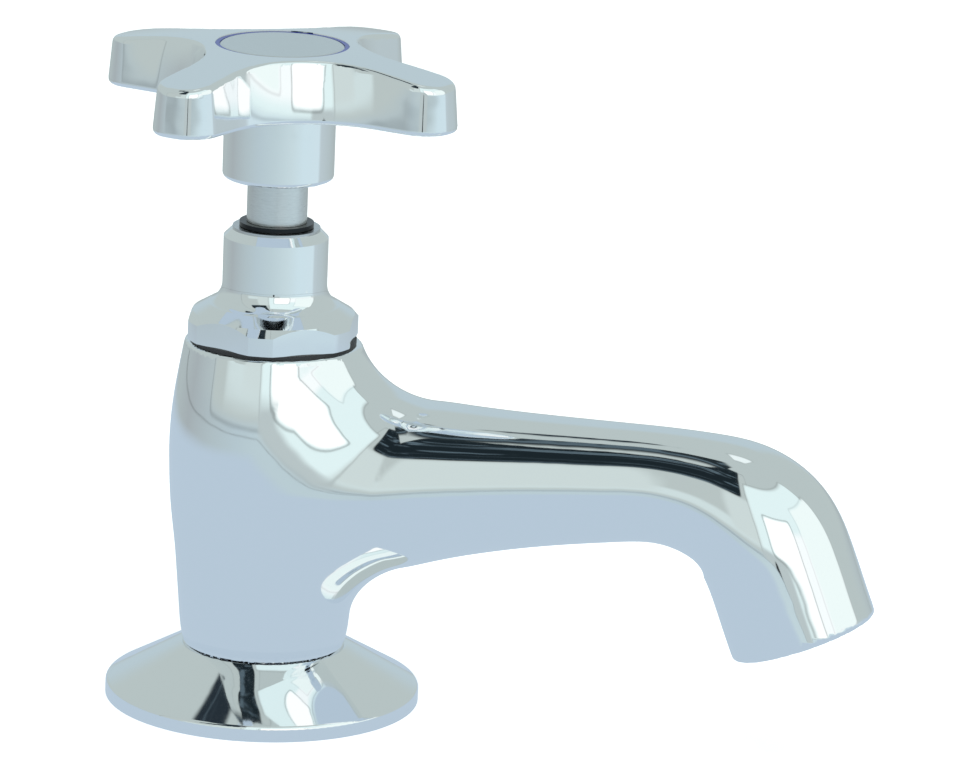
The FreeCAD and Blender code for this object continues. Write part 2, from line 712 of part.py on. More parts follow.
def spindle():
    """Spindle that turns without rising: screw, collar, O-ring grooves, shaft and splined end."""
    collar_top = "ceiling_height - thrust_thickness - running_gap"
    tapped = "handle_screw_radius + tapping_gap"
    tapped_bottom = "well_floor - handle_screw_length - 1"
    clip_middle = "(circlip_bottom + circlip_thickness / 2)"
    clip_width = "(circlip_thickness + 2 * groove_play)"
    shaft = "spindle_radius"
    body = turned("spindle", [
        ("0", "spindle_bottom"),
        ("screw_radius - 0.6", "spindle_bottom"),
        ("screw_radius", "spindle_bottom + 0.6"),
        ("screw_radius", f"{collar_top} - collar_thickness"),
        ("collar_radius", f"{collar_top} - collar_thickness"),
        ("collar_radius", collar_top),
        (shaft, collar_top),
        *groove_corners(shaft, "ring_groove_depth", "lower_ring_height", "ring_groove_width"),
        *groove_corners(shaft, "ring_groove_depth", "upper_ring_height", "ring_groove_width"),
        *groove_corners(shaft, "circlip_groove_depth", clip_middle, clip_width),
        (shaft, "spline_bottom"),
        ("spline_root_radius", "spline_bottom"),
        ("spline_root_radius", "spindle_top"),
        (tapped, "spindle_top"),
        (tapped, tapped_bottom),
        ("0", tapped_bottom),
    ])
    splines(body, "Pad", "spline_bottom - 0.5", "spindle_top - spline_bottom + 0.5", True, "0")
    place(body, angle="arm_turn")
    add_node(body)


def spindle_rings():
    """Washer, circlip and O-rings on the spindle."""
    washer("spindle_washer", "spindle_radius + spindle_gap", "top_washer_radius",
           "tower_top", "tower_top + top_washer_thickness")
    circlip = turned("spindle_circlip", rectangle_corners(
        "spindle_radius - circlip_groove_depth + groove_play", "circlip_radius",
        "circlip_bottom", "circlip_bottom + circlip_thickness"))
    open_ring(circlip, "circlip_bottom", "circlip_thickness", "circlip_radius", "circlip_slot")
    bore = "(spindle_radius + spindle_gap)"
    groove = "(spindle_radius - ring_groove_depth)"
    for name in ("lower", "upper"):
        ring_of_wire(f"{name}_o_ring", f"({bore} + {groove}) / 2",
                     f"({bore} - {groove}) / 2 - ring_squeeze", f"{name}_ring_height")


def open_ring(body, bottom, height, reach, slot):
    """Cut a gap into a flat ring, on its +Y side."""
    sketch = new_sketch(body, "XY_Plane", bottom)
    outline(sketch, [(f"-{slot} / 2", "0"), (f"{slot} / 2", "0"),
                     (f"{slot} / 2", f"{reach} + 1"), (f"-{slot} / 2", f"{reach} + 1")])
    extrusion(body, "Pocket", sketch, height, upward=True)
    add_node(body)


def valve():
    """Hexagonal carrier with its plate, the rubber washer and the screw that holds it."""
    washer_bottom = "seat_height + seat_gap"
    plate_bottom = f"({washer_bottom} + valve_washer_thickness)"
    plate_top = f"{plate_bottom} + plate_thickness"
    hole = "valve_screw_radius + tapping_gap"
    hole_top = f"{washer_bottom} + valve_screw_length + 0.3"
    bore = "screw_radius + screw_gap"
    body = turned("valve_carrier", [
        (hole, plate_bottom),
        ("plate_radius", plate_bottom),
        ("plate_radius", plate_top),
        ("slide_flats / sqrt(3)", plate_top),
        ("slide_flats / sqrt(3)", "carrier_top"),
        (bore, "carrier_top"),
        (bore, "carrier_bore_bottom"),
        ("0", "carrier_bore_bottom"),
        ("0", hole_top),
        (hole, hole_top),
    ])
    hexagonal(body, "slide_flats", plate_top, f"carrier_top - ({plate_top})")
    place(body, angle="bonnet_turn")
    add_node(body)
    washer("valve_washer", hole, "valve_washer_radius", washer_bottom, plate_bottom)
    screw = turned("valve_screw", [
        ("0", f"{washer_bottom} - valve_screw_head"),
        ("valve_screw_head_radius", f"{washer_bottom} - valve_screw_head"),
        ("valve_screw_head_radius", washer_bottom),
        ("valve_screw_radius", washer_bottom),
        ("valve_screw_radius", f"{washer_bottom} + valve_screw_length"),
        ("0", f"{washer_bottom} + valve_screw_length"),
    ])
    sketch = new_sketch(screw, "XY_Plane", f"{washer_bottom} - valve_screw_head")
    outline(sketch, rectangle_corners("-valve_screw_head_radius - 1", "valve_screw_head_radius + 1",
                                      "-screw_slot_width / 2", "screw_slot_width / 2"))
    extrusion(screw, "Pocket", sketch, "valve_screw_head / 2", upward=True)
    add_node(screw)


# ---------------------------------------------------------------- handle

def crown_height(radius):
    """Height of the crowned top at a distance from the axis."""
    sphere = "((arm_reach^2 + tip_drop^2) / (2 * tip_drop))"
    return f"handle_top - {sphere} + sqrt({sphere}^2 - ({radius})^2)"


def handle():
    """Cross handle: a turned disc with boss and crowned top, hollowed between its four arms."""
    sphere = "(arm_reach^2 + tip_drop^2) / (2 * tip_drop)"
    recess = "index_radius + index_gap"
    floor = index_floor()
    shaft_hole = "spindle_radius + spline_gap"
    body = turned("handle", [
        (shaft_hole, "handle_bottom"),
        ("boss_radius - boss_bevel", "handle_bottom"),
        ("boss_radius", "handle_bottom + boss_bevel_height"),
        ("boss_radius", "arm_underside - arm_root_rounding"),
        ("boss_radius + arm_root_rounding", "arm_underside", "arm_root_rounding", "right"),
        ("arm_reach", "tip_underside"),
        ("arm_reach", "handle_top - tip_drop"),
        (recess, crown_height(recess), sphere, "left"),
        (recess, floor),
        ("well_radius", floor),
        ("well_radius", "well_floor"),
        ("handle_screw_hole", "well_floor"),
        ("handle_screw_hole", "spindle_top + 0.2"),
        ("spline_root_radius + spline_gap", "spindle_top + 0.2"),
        ("spline_root_radius + spline_gap", "spline_bottom + spline_gap"),
        (shaft_hole, "spline_bottom + spline_gap"),
    ])
    splines(body, "Pocket", "spline_bottom", "spindle_top - spline_bottom + 0.2", True, "spline_gap")
    hollow_webs(body)
    round_arms(body)
    place(body, angle="arm_turn")
    add_node(body)


def hollow_webs(body):
    """Cut the four hollows between the arms."""
    sketch = new_sketch(body, "XY_Plane", "handle_bottom")
    centre = "(web_reach + web_radius)"
    opening = "(45 - arm_flare)"
    along = f"({centre} - web_radius * sin({opening}))"
    aside = f"(web_radius * cos({opening}))"
    far_along = f"({along} + arm_reach * cos({opening}))"
    far_aside = f"({aside} + arm_reach * sin({opening}))"

    def turned_corner(x, y):
        return f"({x} - {y}) * sqrt(0.5)", f"({x} + {y}) * sqrt(0.5)"

    outline(sketch, [
        turned_corner(far_along, far_aside),
        turned_corner(along, aside),
        (*turned_corner(along, f"-{aside}"), "web_radius", "left"),
        turned_corner(far_along, f"-{far_aside}"),
    ])
    web = extrusion(body, "Pocket", sketch, "handle_top - handle_bottom", upward=True)
    pattern(body, web, "4")


def round_arms(body):
    """Round the arms' upright corners, then the edges of their top and underside."""
    reach = value("arm_reach")

    def is_tip_corner(edge):
        first, last = (vertex.Point for vertex in (edge.Vertexes[0], edge.Vertexes[-1]))
        upright = math.hypot(first.x - last.x, first.y - last.y) < 1e-6 and abs(first.z - last.z) > 1
        return upright and abs(math.hypot(first.x, first.y) - reach) < 1e-6

    def rim_test(height_test):
        def is_rim(edge):
            box = edge.BoundBox
            far = min(math.hypot(vertex.X, vertex.Y) for vertex in edge.Vertexes)
            middle = edge.valueAt((edge.FirstParameter + edge.LastParameter) / 2)
            inner = min(far, math.hypot(middle.x, middle.y))
            return inner > value("web_reach") - 0.5 and height_test(box)
        return is_rim

    fillet(body, "tip_rounding", is_tip_corner)
    fillet(body, "top_rounding", rim_test(lambda box: box.ZMin > value("handle_top - tip_drop") - 0.01))
    fillet(body, "underside_rounding", rim_test(lambda box: box.ZMax < value("arm_underside") + 0.01))


def index_floor():
    return f"{crown_height('index_radius + index_gap')} - index_depth"


def index():
    """Coloured ring and plain disc in the handle's top."""
    top = f"{crown_height('index_radius + index_gap')} - index_drop"
    inner = "index_radius - index_ring_width"
    washer("index_ring", inner, "index_radius", index_floor(), top)
    disc = f"{inner} - index_gap"
    disc_body = turned("index_disc", [
        ("0", index_floor()),
        (disc, index_floor()),
        (disc, f"{top} - 0.1"),
        (f"{disc} - 0.3", f"{top} + 0.05"),
        ("0", f"{top} + 0.05"),
    ])
    add_node(disc_body)


def handle_fasteners():
    """Screw and spring washer that hold the handle on the spindle."""
    head_bottom = "well_floor + spring_washer_thickness"
    screw = turned("handle_screw", [
        ("0", "well_floor - handle_screw_length"),
        ("handle_screw_radius", "well_floor - handle_screw_length"),
        ("handle_screw_radius", head_bottom),
        ("handle_screw_head_radius", head_bottom),
        ("handle_screw_head_radius", f"{head_bottom} + handle_screw_head"),
        ("0", f"{head_bottom} + handle_screw_head"),
    ])
    slot_across(screw, f"{head_bottom} + handle_screw_head", "screw_slot_width", "screw_slot_depth",
                "handle_screw_head_radius + 1")
    add_node(screw)
    spring = turned("handle_screw_washer", rectangle_corners(
        "handle_screw_hole", "spring_washer_radius", "well_floor", head_bottom))
    open_ring(spring, "well_floor", "spring_washer_thickness", "spring_washer_radius",
              "spring_washer_slot")


# ---------------------------------------------------------------- whole tap

def build():
    fill_sheet()
    tap_body()
    base_flange()
    inlet_tail()
    deck_fixings()
    bonnet()
    spindle()
    spindle_rings()
    valve()
    handle()
    index()
    handle_fasteners()
    document.recompute()


def check():
    """Stop where an object failed or a sub-part has no valid shape."""
    for thing in document.Objects:
        if "Invalid" in thing.State or "Error" in thing.State:
            raise RuntimeError(f"{thing.Name} failed: {thing.State}")
    for node in nodes:
        if node.Shape.isNull() or not node.Shape.isValid():
            raise RuntimeError(f"{node.Label} has no valid shape")


def export():
    os.makedirs("parts", exist_ok=True)
    for node in nodes:
        node.Shape.exportStep(f"parts/{node.Label}.step")
        print(node.Label, len(node.Shape.Solids), round(node.Shape.Volume, 1))


build()
check()
export()
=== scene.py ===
"""Cross handle tap: chrome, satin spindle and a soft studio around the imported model.

Everything is worked out in millimetres in the tap's own frame, with +Z up and the spout along +X,
and turned into metres when a mesh or an object is made.
"""

import json
import math

import bpy
import numpy as np
from mathutils import Matrix, Vector


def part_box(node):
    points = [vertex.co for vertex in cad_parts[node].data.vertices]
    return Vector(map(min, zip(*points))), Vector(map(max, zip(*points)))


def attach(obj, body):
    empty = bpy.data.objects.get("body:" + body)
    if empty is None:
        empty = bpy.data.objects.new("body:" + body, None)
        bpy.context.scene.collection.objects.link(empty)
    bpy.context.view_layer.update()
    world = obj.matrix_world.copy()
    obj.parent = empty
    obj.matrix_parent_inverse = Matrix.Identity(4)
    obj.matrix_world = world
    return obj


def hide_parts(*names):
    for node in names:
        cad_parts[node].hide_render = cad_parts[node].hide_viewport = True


MM = 0.001

# Camera
CAMERA_TURN = 18.0  # degrees from -Y towards +X
CAMERA_DISTANCE = 900.0  # level distance from the tap's axis
CAMERA_HEIGHT = 290.0
CAMERA_ROLL = -2.37  # degrees
AIM_SIDEWAYS = 32.9  # place looked at, to the right of the axis
AIM_HEIGHT = 52.3
FOCAL_PIXELS = 5895.0  # focal length in the photograph's pixels
FRAME_WIDTH = 960.0
SENSOR_WIDTH = 36.0
NEAREST_SEEN = 50.0

# Body: barrel, as heights with the radius there
BARREL = ((9.2, 12.9), (11.3, 13.3), (14.0, 13.6), (18.0, 13.95), (27.0, 14.8),
          (41.0, 15.88), (50.0, 15.25), (56.8, 14.15), (60.0, 13.6))
FOOT_HEIGHT, FOOT_RADIUS = BARREL[0]  # lower edge, just over the flange
SPIGOT_RADIUS = 11.1  # narrow end that goes down into the flange
SPIGOT_BOTTOM = 3.0
SPIGOT_ROOT = 1.0  # how far it reaches up into the barrel
RIM_HEIGHT = 58.5
RIM_ROUNDING = 0.5  # edge around the body's top
# Spout: its middle line in the XZ plane, as (x, z, radius)
SPOUT = ((0.0, 32.6, 8.0), (12.0, 34.4, 12.15), (22.0, 37.55, 13.15), (33.0, 39.4, 11.8),
         (45.0, 40.75, 10.35), (56.0, 41.8, 9.45), (64.0, 42.25, 9.1), (71.0, 41.55, 9.75),
         (76.8, 39.7, 10.95), (81.0, 36.4, 11.6), (83.6, 31.9, 11.65), (86.2, 25.5, 11.65),
         (88.2, 20.6, 11.65))
MOUTH_ROUNDING = 0.9
WALL = 2.6
BLEND_ABOVE = 11.8  # fillet between barrel and the spout's top
BLEND_BELOW = 9.0  # fillet under the spout
BLEND_MIDDLE = 45.9  # height at which the fillet is halfway between the two
BLEND_SPAN = 15.4  # height over which it changes
# Waterway, as (lower end, upper end, radius)
WATERWAY = ((2.0, 18.1, 9.5), (17.0, 27.0, 6.5), (26.0, 32.0, 5.2), (31.5, 45.0, 10.0),
            (44.5, 60.0, 10.56))
WATERWAY_ROUNDING = 0.4  # edges of its openings
PASSAGE_START = 8.0  # distance from the axis where the spout's hollow begins

# Handle: cross in plan, in the handle's own turn
ARM_TURN = -14.5  # degrees
ARM_REACH = 31.3
ARM_FLARE = -0.8  # degrees
HOLLOW_REACH = 14.2  # hollow between two arms, from the axis, at the underside
HOLLOW_LEAN = 1.9  # how much nearer the hollow comes to the axis at the top
STRAIGHT_LEAN = 0.4  # share of that lean that is straight, while the rest is curved
HOLLOW_RADIUS = 15.5
TIP_ROUNDING = 4.7
TIP_LEAN = 0.9  # how much nearer the arms come at the top
TIP_LENGTH = 4.0  # end of each arm, where the hollow's lean no longer counts
UNDERSIDE = 96.15
TIP_SAG = 0.1
CROWN_TOP = 106.3
CROWN_DROP = 2.9
LEAN_LIMITS = (-0.3, 1.2)  # how far the leans run on, in shares of the height over the underside
TOP_ROUNDING = (0.4, 0.9)  # edge of the crowned top, in the hollows and at the tips
UNDER_ROUNDING = 0.8
BOSS_RADIUS = 8.75
BOSS_BOTTOM = 84.7
BOSS_ROOT = 2.0  # how far the boss reaches up into the cross
BOSS_EDGE = 0.8
BOSS_FILLET = 0.9
INDEX_RADIUS = 10.5  # recess for the coloured ring and its disc
INDEX_DEPTH = 2.1
# Hollows inside the handle, as (lower end, upper end, radius)
HANDLE_BORES = ((80.0, 86.8, 4.8), (86.0, 94.9, 4.15), (94.0, 97.3, 2.6), (97.2, 106.0, 4.4))

# How finely the two skins are found
GRID = 0.7  # spacing of the grid for the body
FOOT_SNAP = (0.9 * GRID, 0.51 * GRID)  # corners this near, level and upright, go onto the foot's edge
HANDLE_GRID = 0.5
HANDLE_MARGIN = 1.0  # room between the handle and the grid's sides
INDEX_SNAP = 0.6 * HANDLE_GRID  # corners this near go onto the edge around the index
SETTLE_ROUNDS = 4  # times that each corner is moved onto the surface
SPOUT_SAMPLES = 120  # places along the spout that the nearest one is first sought at
SPOUT_BATCH = 20000  # points sought at once
SPOUT_ROUNDS = 5  # times that the nearest place is then made better
SPOUT_STEP = 0.01  # length over which the line's bend is measured
SPOUT_MOVE = 1.5  # longest move in a round
SPOUT_CURB = 0.3  # least divisor of a move, as a share of a straight line's
SPOUT_OVERRUN = 3.0  # how far the line runs on past the mouth

# Finishes, with their grain in spots a metre and its depth in millimetres
CHROME_COLOUR = (0.93, 0.945, 0.955)
WAVE_SCALE = 90  # waves of the casting under the plate
WAVE_DEPTH = 0.06
HAZE_SCALE = 700
HAZE = (0.02, 0.07)  # roughness between which the polish changes
GLOSS_RANGE = (0.8, 1.2)  # shares of its roughness between which another finish changes
# Other slots: (material, colour, metallic, roughness, grain, depth, grain's stretch, change of colour)
FINISHES = {
    "brass": ("brass", (0.74, 0.55, 0.26), 1, 0.28, 500, 0.03, (1, 1, 4), 0.12),
    "steel": ("steel", (0.62, 0.63, 0.64), 1, 0.25, 900, 0.02, (1, 1, 4), 0.12),
    "spindle": ("spindle_metal", (0.74, 0.76, 0.76), 1, 0.3, 900, 0.02, (1, 1, 6), 0.12),
    "rubber": ("rubber", (0.02, 0.02, 0.022), 0, 0.55, 1500, 0.02, (1, 1, 1), 0.12),
    "foam": ("foam", (0.1, 0.1, 0.1), 0, 0.9, 2500, 0.1, (1, 1, 1), 0.12),
    "fibre": ("fibre", (0.42, 0.1, 0.06), 0, 0.7, 2000, 0.03, (1, 1, 1), 0.12),
    "nylon": ("nylon", (0.82, 0.81, 0.77), 0, 0.4, 800, 0.01, (1, 1, 1), 0.04),
    "blue": ("blue_enamel", (0.013, 0.027, 0.3), 0, 0.15, 600, 0.005, (1, 1, 1), 0.12),
    "index": ("index_metal", (0.75, 0.765, 0.76), 1, 0.22, 700, 0.01, (1, 6, 1), 0.06),
    # circlip's near-black colour: partly blackened spring steel, partly painted shade standing in for the
    # dark gap at the spindle's foot
    "blackened": ("blackened_steel_and_painted_shade", (0.03, 0.032, 0.035), 1, 0.3, 900, 0.01, (1, 1, 1), 0.12),
}

# Studio, as seen in the metal: patches of the tent, as directions in degrees
# (from, to, lower, upper, softness, colour, strength of the dark edge)
TENT = (0.50, 0.575, 0.57)
TENT_PATCHES = (
    (-147, -80, -2, 75, 2.0, (0.51, 0.58, 0.57), 0.35),
    (-130, -82, 1, 13, 3.0, (0.66, 0.77, 0.77), 0.0),
    (-108, -80, 4, 42, 3.0, (0.64, 0.73, 0.72), 0.0),
    (-84, 15, -1, 62, 2.0, (0.80, 0.95, 0.95), 0.3),
    (-62, 20, 4, 24, 4.0, (1.0, 1.05, 1.05), 0.0),
    (-86, -60, -5, 2.5, 2.0, (0.51, 0.585, 0.59), 0.0),
    (-72, -39, 3, 33, 1.0, (1.14, 1.14, 1.12), 0.5),
    (-24, 21, 8, 44, 1.5, (0.92, 1.02, 1.0), 0.2),
    (88, 130, 0, 40, 6.0, (0.50, 0.61, 0.66), 0.0),
    (72, 108, 70, 80, 1.5, (0.88, 0.97, 0.97), 0.2),
    (139, 181, 63, 73, 1.0, (0.02, 0.03, 0.04), 0.0),
    (-130, -91, 43, 78, 1.2, (0.012, 0.02, 0.025), 0.0),
    (-180, -120, 72, 83, 2.0, (0.02, 0.03, 0.035), 0.0),
    (-75.5, -72, -14, -1, 0.5, (0.01, 0.012, 0.015), 0.0),
)
PATCH_CORNER = 6.0  # degrees over which a patch's corners are rounded
EDGE_OFFSET = 1.5  # degrees that a dark edge lies outside its patch
EDGE_WIDTH = 1.2  # degrees from its middle to where it ends
LINE = (0.12, 0.13, 0.13)  # dark edges, which are seams of the cloth, and the table's end
STREAKED = 0.06  # patches darker than this have lighter streaks
STREAK = (0.10, 0.145, 0.175)
STREAK_SCALE = (0.03, 0.3)  # how fast the streaks change around and upwards
STREAK_LEVELS = (0.54, 0.66)  # of the noise, where a streak begins and where it is full
# Tones around the table's end, as (direction in degrees, colour)
HORIZON_TONES = ((-180, (0.40, 0.45, 0.47)), (-140, (0.46, 0.55, 0.58)), (-110, (0.49, 0.60, 0.65)),
                 (-80, (0.53, 0.65, 0.69)), (-45, (0.60, 0.73, 0.77)), (-20, (0.64, 0.79, 0.85)),
                 (17, (0.65, 0.79, 0.85)), (23, (0.52, 0.61, 0.65)), (55, (0.47, 0.55, 0.57)),
                 (85, (0.42, 0.48, 0.49)), (150, (0.44, 0.51, 0.52)), (180, (0.40, 0.45, 0.47)))
HORIZON_FADE = (-4, 6)  # degrees upwards between which they turn into the tent's colour
DECK = (0.50, 0.61, 0.715)  # table around the tap, as the metal shows it
DECK_REACH = 240.0  # where its blue turns into the horizon's tones
DECK_FADE = (0.8, 1.2)  # shares of that distance between which it turns
DECK_END = 500.0
END_LINE = (0.9, 0.94)  # shares of that distance between which the table darkens
END_DARKNESS = 0.45
END_FADE = 0.97  # share of that distance from which the table fades out
WHITE = (1.0, 1.0, 1.0)  # room and floor, as the camera sees them
FLOOR_RADIUS = 3000.0
FLOOR_CORNERS = 96
FLOOR_DROP = 0.1  # how far the floor lies under the tap
FLOOR_TONE = 0.9
FLOOR_GLOW = 0.55  # strength of its own light, which keeps it white
LAMP_PLACE = (150.0, -250.0, 700.0)
LAMP_SIZE = 500.0
LAMP_POWER = 2.0  # watts

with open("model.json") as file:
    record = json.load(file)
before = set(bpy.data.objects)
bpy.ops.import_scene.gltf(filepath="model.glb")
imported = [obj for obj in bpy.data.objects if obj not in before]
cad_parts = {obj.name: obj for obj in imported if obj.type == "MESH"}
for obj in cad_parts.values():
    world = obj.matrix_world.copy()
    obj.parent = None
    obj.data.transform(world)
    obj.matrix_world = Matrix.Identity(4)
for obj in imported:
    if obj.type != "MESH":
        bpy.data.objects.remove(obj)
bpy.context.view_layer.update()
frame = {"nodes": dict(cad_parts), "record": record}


# ---------------------------------------------------------------- smooth curves

def spline(knots, heights):
    """Natural cubic spline through a few places, as a function that gives its value and slope."""
    knots, heights = np.asarray(knots, float), np.asarray(heights, float)
    heights = heights.reshape(len(knots), -1)
    steps = np.diff(knots)[:, None]
    slopes = np.diff(heights, axis=0) / steps
    count = len(knots)
    system, right = np.eye(count), np.zeros_like(heights)
    for n in range(1, count - 1):
        system[n, n - 1:n + 2] = steps[n - 1, 0], 2 * (steps[n - 1, 0] + steps[n, 0]), steps[n, 0]
        right[n] = 6 * (slopes[n] - slopes[n - 1])
    bends = np.linalg.solve(system, right)
    rates = (bends[1:] - bends[:-1]) / (6 * steps)
    starts = slopes - steps * (2 * bends[:-1] + bends[1:]) / 6

    def curve(t):
        n = np.clip(np.searchsorted(knots, t) - 1, 0, count - 2)
        after = (t - knots[n])[:, None]
        place = heights[n] + after * (starts[n] + after * (bends[n] / 2 + after * rates[n]))
        return place, starts[n] + after * (bends[n] + 3 * after * rates[n])

    return curve


# ---------------------------------------------------------------- surfaces

def round_union(first, second, radius):
    """Distance to two solids joined with a fillet of that radius."""
    near = np.hypot(np.maximum(radius - first, 0), np.maximum(radius - second, 0))
    return np.maximum(radius, np.minimum(first, second)) - near


def round_common(first, second, radius):
    """Distance to what two solids share, with its edge rounded."""
    return -round_union(-first, -second, radius)


def with_bores(hollow, bores, reach, z):
    """Distance to a hollow together with upright bores, each (lower end, upper end, radius)."""
    for low, high, radius in bores:
        bore = np.maximum(reach - radius, np.maximum(low - z, z - high))
        hollow = np.minimum(hollow, bore)
    return hollow


class BodySurface:
    """Distance from the body's skin, negative inside the metal."""

    def __init__(self):
        points = np.array(SPOUT)
        along = np.concatenate([[0], np.cumsum(np.hypot(*np.diff(points[:, :2], axis=0).T))])
        self.line, self.length = spline(along, points), along[-1]
        self.samples = np.linspace(0, self.length, SPOUT_SAMPLES)
        self.barrel_radius = spline(*np.array(BARREL).T)
        place, way = self.line(self.samples[-1:])
        self.end, self.end_way = place[0, :2], way[0, :2] / np.linalg.norm(way[0, :2])

    def nearest(self, points):
        """Distance from the spout's middle line, and the spout's radius at the nearest place."""
        flat = points[:, [0, 2]]
        coarse, _ = self.line(self.samples)
        along = np.empty(len(points))
        for start in range(0, len(points), SPOUT_BATCH):
            part = flat[start:start + SPOUT_BATCH]
            gaps = (part[:, :1] - coarse[:, 0]) ** 2 + (part[:, 1:] - coarse[:, 1]) ** 2
            along[start:start + SPOUT_BATCH] = self.samples[gaps.argmin(1)]
        for _ in range(SPOUT_ROUNDS):
            place, way = self.line(along)
            bend = (self.line(along + SPOUT_STEP)[1] - way)[:, :2] / SPOUT_STEP
            gap, speed = flat - place[:, :2], (way[:, :2] ** 2).sum(1)
            divisor = np.maximum(speed - (gap * bend).sum(1), SPOUT_CURB * speed)
            move = np.clip((gap * way[:, :2]).sum(1) / divisor, -SPOUT_MOVE, SPOUT_MOVE)
            along = np.clip(along + move, 0, self.length + SPOUT_OVERRUN)
        place, _ = self.line(along)
        return np.sqrt(((flat - place[:, :2]) ** 2).sum(1) + points[:, 1] ** 2), place[:, 2]

    def outside(self, points):
        """Distance from the body without its hollows, and from the spout's side alone."""
        x, y, z = points.T
        reach = np.hypot(x, y)
        barrel = reach - self.barrel_radius(np.clip(z, FOOT_HEIGHT, BARREL[-1][0]))[0][:, 0]
        distance, radius = self.nearest(points)
        side = distance - radius
        beyond = (x - self.end[0]) * self.end_way[0] + (z - self.end[1]) * self.end_way[1]
        spout = round_common(side, beyond, MOUTH_ROUNDING)
        share = np.clip((z - BLEND_MIDDLE) / BLEND_SPAN + 0.5, 0, 1)
        share = share * share * (3 - 2 * share)
        joined = round_union(barrel, spout, BLEND_BELOW + (BLEND_ABOVE - BLEND_BELOW) * share)
        joined = round_common(joined, z - RIM_HEIGHT, RIM_ROUNDING)
        joined = np.maximum(joined, FOOT_HEIGHT - z)
        spigot = np.maximum(reach - SPIGOT_RADIUS, SPIGOT_BOTTOM - z)
        spigot = np.maximum(spigot, z - FOOT_HEIGHT - SPIGOT_ROOT)
        return np.minimum(joined, spigot), side

    def __call__(self, points):
        outside, side = self.outside(points)
        x, y, z = points.T
        passage = np.maximum(side + WALL, PASSAGE_START - x)
        inside = with_bores(passage, WATERWAY, np.hypot(x, y), z)
        return round_common(outside, -inside, WATERWAY_ROUNDING)


class HandleSurface:
    """Distance from the handle's skin, in its own turn."""

    def __init__(self):
        self.sphere = (ARM_REACH ** 2 + CROWN_DROP ** 2) / (2 * CROWN_DROP)

    def crown(self, radius):
        """Height of the crowned top at a radius."""
        return CROWN_TOP - self.sphere + np.sqrt(self.sphere ** 2 - radius ** 2)

    def plan(self, x, y):
        """Distance from the outline of the cross."""
        fold = np.abs(np.arctan2(y, x) % (math.pi / 2) - math.pi / 4)
        reach = np.hypot(x, y)
        along, aside = reach * np.cos(fold) - HOLLOW_REACH - HOLLOW_RADIUS, reach * np.sin(fold)
        opening = math.radians(45 - ARM_FLARE)
        beside = aside * math.cos(opening) - along * math.sin(opening)
        ahead = along * math.cos(opening) + aside * math.sin(opening) > 0
        hollow = np.where(ahead, beside, np.hypot(along, aside)) - HOLLOW_RADIUS
        return round_common(reach - ARM_REACH, -hollow, TIP_ROUNDING)

    def __call__(self, points):
        x, y, z = points.T
        reach = np.hypot(x, y)
        share = np.clip((reach - HOLLOW_REACH) / (ARM_REACH - TIP_LENGTH - HOLLOW_REACH), 0, 1)
        rise = np.clip((z - UNDERSIDE) / (CROWN_TOP - UNDERSIDE), *LEAN_LIMITS)
        curved = STRAIGHT_LEAN * rise + (1 - STRAIGHT_LEAN) * rise * np.abs(rise)
        lean = HOLLOW_LEAN * curved * (1 - share) + TIP_LEAN * rise * share
        sides = self.plan(x, y) + lean
        top = np.sqrt(reach ** 2 + (z - CROWN_TOP + self.sphere) ** 2) - self.sphere
        under = UNDERSIDE - TIP_SAG * reach / ARM_REACH - z
        rounding = TOP_ROUNDING[0] + (TOP_ROUNDING[1] - TOP_ROUNDING[0]) * share
        cross = round_common(round_common(sides, top, rounding), under, UNDER_ROUNDING)
        boss = round_common(reach - BOSS_RADIUS, BOSS_BOTTOM - z, BOSS_EDGE)
        boss = np.maximum(boss, z - UNDERSIDE - BOSS_ROOT)
        joined = round_union(cross, boss, BOSS_FILLET)
        recess = np.maximum(reach - INDEX_RADIUS, self.crown(INDEX_RADIUS) - INDEX_DEPTH - z)
        return np.maximum(joined, -with_bores(recess, HANDLE_BORES, reach, z))


# ---------------------------------------------------------------- skins

def slope(surface, points, step=0.02):
    """Direction in which the distance grows, and the distance itself."""
    here = surface(points)
    return np.stack([surface(points + step * axis) - here for axis in np.eye(3)], 1) / step, here


